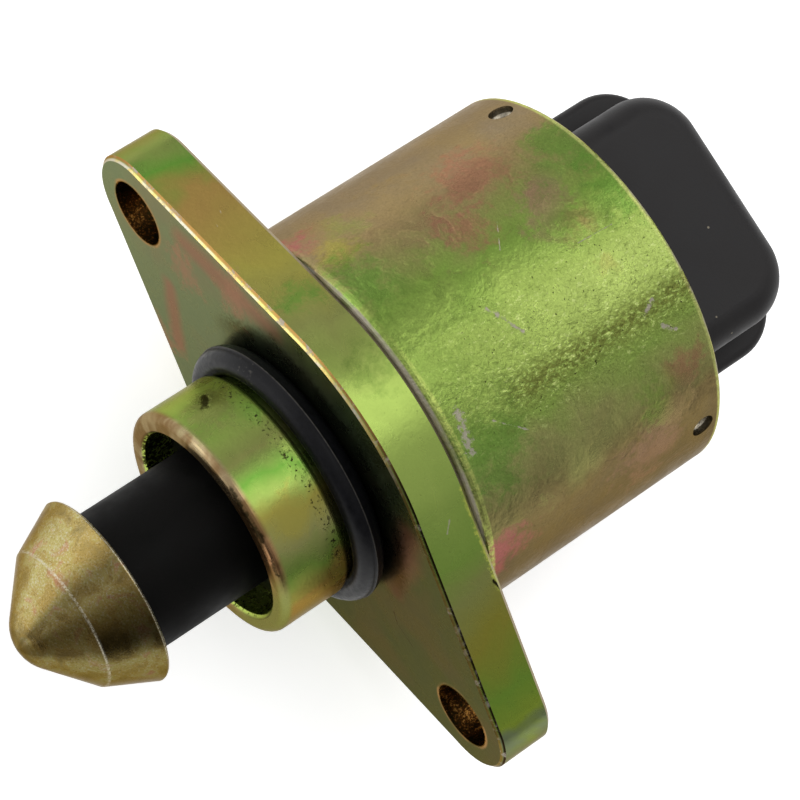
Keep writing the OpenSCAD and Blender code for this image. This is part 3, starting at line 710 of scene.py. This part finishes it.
# %% [markdown]
# ## Rubber and black mouldings
# The O-ring is nitrile rubber with a faint blue sheen, the sleeve and the guide are
# matte black engineering plastic, and the connector is a glass-filled nylon whose
# surface has a fine pebble. All are dark, so their roughness does most of the work.

# %% Rubber and mouldings
RING_Y, RING_OUTSIDE = -1.4, 11.9
rubber = Finish("seal_rubber", Roughness=0.4, Specular_IOR_Level=0.12)
dust = rubber.noise(0.5, 4, 0.7)
from_parting = rubber.math("ABSOLUTE", rubber.math("SUBTRACT", rubber.axis("Y"), RING_Y * MM))
# A light line along the real parting ridge: a painted highlight.
parting_highlight = rubber.times(
    rubber.span_mm(from_parting, 0.08, 0.03),
    rubber.span_mm(rubber.from_axis(), RING_OUTSIDE - 0.4, RING_OUTSIDE),
    rubber.span(dust, 0.35, 0.55, 0.4, 0.9),
)
dirt = rubber.times(rubber.span(dust, 0.56, 0.66), rubber.ball((-8.5, -2.2, 7.5), 2.2, 0.8))
black = rubber.ramp(dust, [(0.3, srgb(9, 9, 11)), (0.8, srgb(19, 19, 23))])
rubber.plug(
    Base_Color=rubber.mix(rubber.most(parting_highlight, dirt), black, srgb(66, 64, 60)),
    Roughness=rubber.span(dust, 0.3, 0.7, 0.3, 0.46),
    Normal=rubber.bump(dust, 0.012),
)

sleeve = Finish("sleeve_plastic", Roughness=0.55, Specular_IOR_Level=0.05)
haze = sleeve.noise(3, 4, 0.6)
sleeve.plug(
    Base_Color=sleeve.ramp(haze, [(0.3, srgb(7, 7, 6)), (0.7, srgb(13, 12, 11))]),
    Roughness=sleeve.span(haze, 0.3, 0.7, 0.46, 0.64),
    Normal=sleeve.bump(sleeve.noise(0.2, 3, 0.6), 0.008),
)
dress(sleeve, "pintle_sleeve", "guide_bush")

nylon = Finish("connector_nylon", Roughness=0.5, Specular_IOR_Level=0.22)
flow = nylon.noise(6, 4, 0.6, 0.4)
lint = nylon.dots(1.7, 0.07, amount=0.2)
grey_black = nylon.ramp(flow, [(0.3, srgb(20, 18, 19)), (0.7, srgb(33, 31, 31))])
nylon.plug(
    Base_Color=nylon.mix(lint, grey_black, srgb(120, 112, 96)),
    Roughness=nylon.span(flow, 0.3, 0.7, 0.42, 0.56),
    Normal=nylon.bump(nylon.noise(0.22, 3, 0.6), 0.014),
)
dress(nylon, "connector_body")

# %% [markdown]
# ## Metals and plastics inside
# Nothing of these shows in the photograph, but each has the finish that it has when
# such a valve is opened: tinned blades, brass, ground bearing steel, bronze, black
# ferrite, pale plastic, bare pole sheet and lacquered copper.


# %% Finishes inside
def plain_metal(name, dark, light, size_mm, rough):
    """A metal whose colour and gloss drift gently, with a fine lay from its making."""
    metal = Finish(name, Metallic=1.0, Roughness=rough)
    drift = metal.noise(size_mm, 3, 0.6)
    lay = metal.noise(0.3, 3, 0.6, place=metal.moved((1, 6, 1)))
    metal.plug(
        Base_Color=metal.ramp(drift, [(0.3, dark), (0.7, light)]),
        Roughness=metal.span(lay, 0.3, 0.7, rough - 0.06, rough + 0.08),
        Normal=metal.bump(lay, 0.003),
    )
    return metal


def plain_plastic(name, dark, light, size_mm, rough):
    """A moulded plastic or ceramic with soft clouds in its colour."""
    plastic = Finish(name, Roughness=rough)
    cloud = plastic.noise(size_mm, 4, 0.6)
    plastic.plug(
        Base_Color=plastic.ramp(cloud, [(0.3, dark), (0.7, light)]),
        Roughness=plastic.span(cloud, 0.3, 0.7, rough - 0.06, rough + 0.06),
        Normal=plastic.bump(plastic.noise(0.25, 3, 0.6), 0.006),
    )
    return plastic


tin = plain_metal("tinned_brass", srgb(176, 174, 166), srgb(206, 204, 196), 1.5, 0.3)
brass = plain_metal("turned_brass", srgb(176, 140, 70), srgb(206, 170, 92), 2.0, 0.28)
bronze = plain_metal("sintered_bronze", srgb(130, 88, 54), srgb(160, 112, 70), 0.4, 0.5)
steel = plain_metal("bearing_steel", srgb(168, 170, 172), srgb(198, 200, 202), 3.0, 0.18)
sheet = plain_metal("pole_sheet", srgb(150, 150, 148), srgb(180, 180, 178), 2.5, 0.4)
copper = plain_metal("enamelled_copper", srgb(150, 74, 40), srgb(186, 100, 56), 2.0, 0.3)
ferrite = plain_plastic("ferrite", srgb(40, 40, 42), srgb(56, 56, 58), 0.6, 0.55)
white_nylon = plain_plastic("hub_plastic", srgb(216, 212, 198), srgb(230, 226, 214), 3.0, 0.45)
bobbin_nylon = plain_plastic("bobbin_plastic", srgb(204, 196, 168), srgb(220, 212, 188), 3.0, 0.45)
dress(tin, "terminal_1", "terminal_2", "terminal_3", "terminal_4")
dress(brass, "pintle_nut", "bearing_cage")
dress(bronze, "rear_bush")
dress(steel, "bearing_outer_race", "bearing_inner_race", "bearing_balls", "preload_washer")
for coil in ("front_coil", "rear_coil"):
    dress(sheet, coil + "_front_pole", coil + "_rear_pole")
dress(ferrite, "rotor_magnet")
dress(white_nylon, "rotor_hub")
dress(bobbin_nylon, "front_bobbin", "rear_bobbin")

# %% [markdown]
# ## Turned blanks
# The O-ring, the body of each coil and the shaft of the lead screw are all round
# about the valve's own axis, Y. One helper spins a closed outline round that axis
# into a mesh that shares its corners, so its surface is closed and shades smoothly.


# %% Spin an outline about the valve's axis
def spun(outline, steps, closed):
    """A mesh from (radius, y) points in metres. An open outline starts and ends on the axis."""
    mesh = bmesh.new()
    rings = []
    for radius, y in outline:
        if radius == 0:
            rings.append([mesh.verts.new((0, y, 0))] * steps)
            continue
        rings.append([
            mesh.verts.new((radius * math.sin(a), y, radius * math.cos(a)))
            for a in (2 * math.pi * i / steps for i in range(steps))
        ])
    pairs = list(zip(rings, rings[1:] + rings[:1])) if closed else list(zip(rings, rings[1:]))
    for one, other in pairs:
        for i in range(steps):
            corners = []
            for corner in (one[i], one[(i + 1) % steps], other[(i + 1) % steps], other[i]):
                if corner not in corners:
                    corners.append(corner)
            mesh.faces.new(corners)
    bmesh.ops.recalc_face_normals(mesh, faces=mesh.faces)
    return mesh


def as_piece(name, mesh, finish, smooth=True):
    """Turns a bmesh into an object of the scene with its finish."""
    data = bpy.data.meshes.new(name)
    mesh.to_mesh(data)
    mesh.free()
    for face in data.polygons:
        face.use_smooth = smooth
    data.materials.append(finish.material)
    piece = bpy.data.objects.new(name, data)
    bpy.context.scene.collection.objects.link(piece)
    return piece


def hand_over(piece, body, slot, *stands_for):
    """Puts a finished piece on its body and in the place of CAD nodes. Its slot is not used."""
    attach(piece, body)
    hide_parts(*stands_for)
    triangles = sum(len(face.vertices) - 2 for face in piece.data.polygons)
    print(piece.name, triangles, "triangles")


# %% [markdown]
# ## The O-ring
# A moulded ring has a thin line round it where the two halves of its mould met, here
# on the outside. It is a real ridge, a few hundredths of a millimetre high, so the
# cord is a hair thinner than the CAD torus and the ridge ends where the torus does.

# %% The O-ring
RIDGE = 0.05 * MM
RIDGE_HALF_ANGLE = 0.035
CORD_STEPS, RING_STEPS = 32, 160
low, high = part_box("flange_o_ring")
cord = (high.y - low.y) / 2
ring_middle, ring_y = (high.x - low.x) / 2 - cord, (low.y + high.y) / 2
profile = []
for i in range(CORD_STEPS):
    angle = RIDGE_HALF_ANGLE + i * (2 * math.pi - 2 * RIDGE_HALF_ANGLE) / (CORD_STEPS - 1)
    radius = ring_middle + (cord - RIDGE) * math.cos(angle)
    profile.append((radius, ring_y + cord * math.sin(angle)))
profile.append((ring_middle + cord, ring_y))
o_ring = as_piece("o_ring", spun(profile, RING_STEPS, True), rubber)
hand_over(o_ring, "housing", "seal_rubber", "flange_o_ring")

# %% [markdown]
# ## Windings, by Geometry Nodes
# Each coil is a few hundred turns of lacquered wire. Only the outer layer can be
# seen through the gap between the pole cups, so a spiral of wire is laid over a
# plain body. A node tree does this well: its spiral takes the turns, the radius and
# the length as inputs, and the same tree winds both coils and cuts the screw's
# thread, which is a spiral too.


# %% A tree that lays a spiral on a blank
STEPS_PER_TURN = 56


def spiral_tree(name, finish):
    """Joins a swept spiral about Y to the object's own mesh."""
    tree = bpy.data.node_groups.new(name, "GeometryNodeTree")
    tree.is_modifier = True
    face = tree.interface
    face.new_socket("Geometry", in_out="INPUT", socket_type="NodeSocketGeometry")
    for label in ("Turns", "Radius", "Length", "Start", "Wire radius"):
        face.new_socket(label, in_out="INPUT", socket_type="NodeSocketFloat")
    face.new_socket("Wire sides", in_out="INPUT", socket_type="NodeSocketInt")
    face.new_socket("Geometry", in_out="OUTPUT", socket_type="NodeSocketGeometry")
    given = tree.nodes.new("NodeGroupInput").outputs
    spiral = add_node(tree, "GeometryNodeCurveSpiral", {
        "Resolution": STEPS_PER_TURN, "Rotations": given["Turns"], "Start Radius": given["Radius"],
        "End Radius": given["Radius"], "Height": given["Length"],
    })
    upright = add_node(tree, "GeometryNodeSetCurveNormal", {"Curve": spiral}, mode="Z_UP")
    wire = add_node(tree, "GeometryNodeCurvePrimitiveCircle", {
        "Resolution": given["Wire sides"], "Radius": given["Wire radius"],
    })
    swept = add_node(tree, "GeometryNodeCurveToMesh", {
        "Curve": upright, "Profile Curve": wire, "Fill Caps": True,
    })
    laid = add_node(tree, "GeometryNodeTransform", {
        "Geometry": swept, "Rotation": (-math.pi / 2, 0, 0),
        "Translation": add_node(tree, "ShaderNodeCombineXYZ", {"Y": given["Start"]}),
    })
    smooth = add_node(tree, "GeometryNodeSetShadeSmooth", {"Geometry": laid})
    joined = tree.nodes.new("GeometryNodeJoinGeometry")
    tree.links.new(smooth, joined.inputs[0])
    tree.links.new(given["Geometry"], joined.inputs[0])
    real = add_node(tree, "GeometryNodeRealizeInstances", {"Geometry": joined.outputs[0]})
    coated = add_node(tree, "GeometryNodeSetMaterial", {
        "Geometry": real, "Material": finish.material,
    })
    tree.links.new(coated, tree.nodes.new("NodeGroupOutput").inputs[0])
    print(name, len(tree.nodes), "nodes")
    return tree


def wound(piece, tree, **inputs):
    """Runs a tree on a piece and keeps the result as its plain mesh."""
    modifier = piece.modifiers.new("spiral", "NODES")
    modifier.node_group = tree
    for item in tree.interface.items_tree:
        if item.in_out == "INPUT" and item.name.replace(" ", "_") in inputs:
            modifier[item.identifier] = inputs[item.name.replace(" ", "_")]
    evaluated = piece.evaluated_get(bpy.context.evaluated_depsgraph_get())
    plain = bpy.data.meshes.new_from_object(evaluated)
    piece.modifiers.clear()
    piece.data = plain
    return piece


# %% [markdown]
# ## The two coils
# The body of each coil is a ring as wide as the CAD solid less one wire, and the
# outer layer of wire fills it out to the solid's own radius.

# %% Coils
WIRE = 0.32 * MM
WIRE_SIDES, COIL_STEPS = 8, 96
copper_spiral = spiral_tree("coil_spiral", copper)
for name in ("front_coil", "rear_coil"):
    low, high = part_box(name)
    inner = min(math.hypot(v.co.x, v.co.z) for v in nodes[name].data.vertices)
    wire_r = high.x - WIRE / 2
    corners = [(inner, low.y), (wire_r, low.y), (wire_r, high.y), (inner, high.y)]
    blank = spun(corners, COIL_STEPS, True)
    winding = as_piece(name + "_winding", blank, copper, smooth=False)
    length = high.y - low.y - WIRE
    wound(winding, copper_spiral, Turns=length / WIRE, Radius=wire_r, Length=length,
          Start=low.y + WIRE / 2, Wire_radius=WIRE / 2, Wire_sides=WIRE_SIDES)
    hand_over(winding, "housing", "copper_wire", name)

# %% [markdown]
# ## The lead screw
# The rotor's screw drives the pintle one millimetre for each turn. The CAD solid is
# plain at the thread's outer size, so the nut's clearance stays true. Here the shaft
# is cut down to the thread's root and a spiral ridge brings it back to that size.

# %% Lead screw
SCREW_R = 2.0
THREAD_DEPTH = 0.42
LEAD = 1.0
ROOT_R = SCREW_R - THREAD_DEPTH
THREAD_START, THREAD_LENGTH = -6.3, 12.6
THREAD_SIDES, SHAFT_STEPS = 4, 64
SHAFT = [
    (0, -7.0), (ROOT_R - 0.3, -7.0), (ROOT_R, -6.7), (ROOT_R, 6.8), (SCREW_R, 7.0), (SCREW_R, 7.35),
    (2.98, 7.35), (2.98, 12.35), (3.74, 12.35), (3.74, 12.85), (3.0, 12.85), (3.0, 26.0),
    (1.5, 26.0), (1.5, 28.8), (0, 28.8),
]
outline = [(r * MM, y * MM) for r, y in SHAFT]
shaft = as_piece("threaded_screw", spun(outline, SHAFT_STEPS, False), steel, smooth=False)
low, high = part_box("lead_screw")
print("shaft ends", [round(v / MM, 2) for v in (low.y, high.y)], "solid", SHAFT[0][1], SHAFT[-1][1])
wound(shaft, spiral_tree("thread_spiral", steel), Turns=THREAD_LENGTH / LEAD, Radius=ROOT_R * MM,
      Length=THREAD_LENGTH * MM, Start=THREAD_START * MM, Wire_radius=THREAD_DEPTH * MM,
      Wire_sides=THREAD_SIDES)
hand_over(shaft, "rotor", "bearing_steel", "lead_screw")

# %% [markdown]
# ## Floor and light
# A white floor carries the valve's shadow. It is a little brighter to the camera,
# and in reflections, than its own paint makes it, so that it reads as white without
# more light on the valve. The sky is dim on the side of the cone's dark flank. One
# large softbox hangs behind and above, which lays the bright band along the can, a
# second one on the left fills the cone and the flange's edge, and a small one in
# front gives the bright line on the flange's chamfer.

# %% Floor, world and lamps
FLOOR_HALF = 1.2
FLOOR_GLOW = 0.48
floor_z = cad_box[0].z
floor_mesh = bpy.data.meshes.new("floor")
floor_mesh.from_pydata(
    [(x * FLOOR_HALF, y * FLOOR_HALF, floor_z) for x, y in ((-1, -1), (1, -1), (1, 1), (-1, 1))],
    [], [(0, 1, 2, 3)],
)
floor = bpy.data.objects.new("floor", floor_mesh)
bpy.context.scene.collection.objects.link(floor)
paper = Finish("floor_paper", Roughness=0.9, Base_Color=srgb(246, 246, 246),
               Specular_IOR_Level=0.0, Emission_Color=grey(1))
ray = paper.tree.nodes.new("ShaderNodeLightPath").outputs
seen = paper.most(ray["Is Camera Ray"], ray["Is Glossy Ray"], ray["Is Transmission Ray"])
paper.plug(Emission_Strength=paper.times(seen, FLOOR_GLOW))
floor.data.materials.append(paper.material)

WORLD_BRIGHT, WORLD_DIM = 0.78, 0.02
DIM_SIDE = (0.74, -0.55, -0.38)
DIM_FROM, DIM_TO = 0.15, 0.8
world = bpy.data.worlds.new("studio")
world.use_nodes = True
sky = world.node_tree
towards = sky.nodes.new("ShaderNodeTexCoord").outputs["Generated"]
aim = add_node(sky, "ShaderNodeVectorMath", {0: towards, 1: DIM_SIDE}, out="Value",
               operation="DOT_PRODUCT")
fade = add_node(sky, "ShaderNodeMapRange", {
    "Value": aim, "From Min": DIM_FROM, "From Max": DIM_TO,
    "To Min": WORLD_BRIGHT, "To Max": WORLD_DIM,
})
background = sky.nodes["Background"].inputs
background["Color"].default_value = grey(1)
sky.links.new(fade, background["Strength"])
bpy.context.scene.world = world


def softbox(name, direction, distance, width, height, glow):
    """A rectangular lamp that looks at the valve's middle; glow 1 is as bright as white."""
    lamp = bpy.data.lights.new(name, "AREA")
    lamp.shape = "RECTANGLE"
    lamp.size, lamp.size_y = width, height
    lamp.energy = glow * math.pi * width * height
    holder = bpy.data.objects.new(name, lamp)
    holder.location = Vector(direction).normalized() * distance
    holder.rotation_mode = "QUATERNION"
    holder.rotation_quaternion = (-Vector(direction)).to_track_quat("-Z", "Y")
    bpy.context.scene.collection.objects.link(holder)
    print(name, round(lamp.energy, 2), "W at", distance, "m")


softbox("top_softbox", (-0.1, 0.4, 0.91), 0.7, 0.38, 0.9, 1.45)
softbox("left_softbox", (-1.0, -0.3, 0.5), 0.8, 0.9, 0.6, 1.0)
softbox("front_softbox", (-0.57, -0.81, 0.14), 0.7, 0.4, 0.24, 2.0)
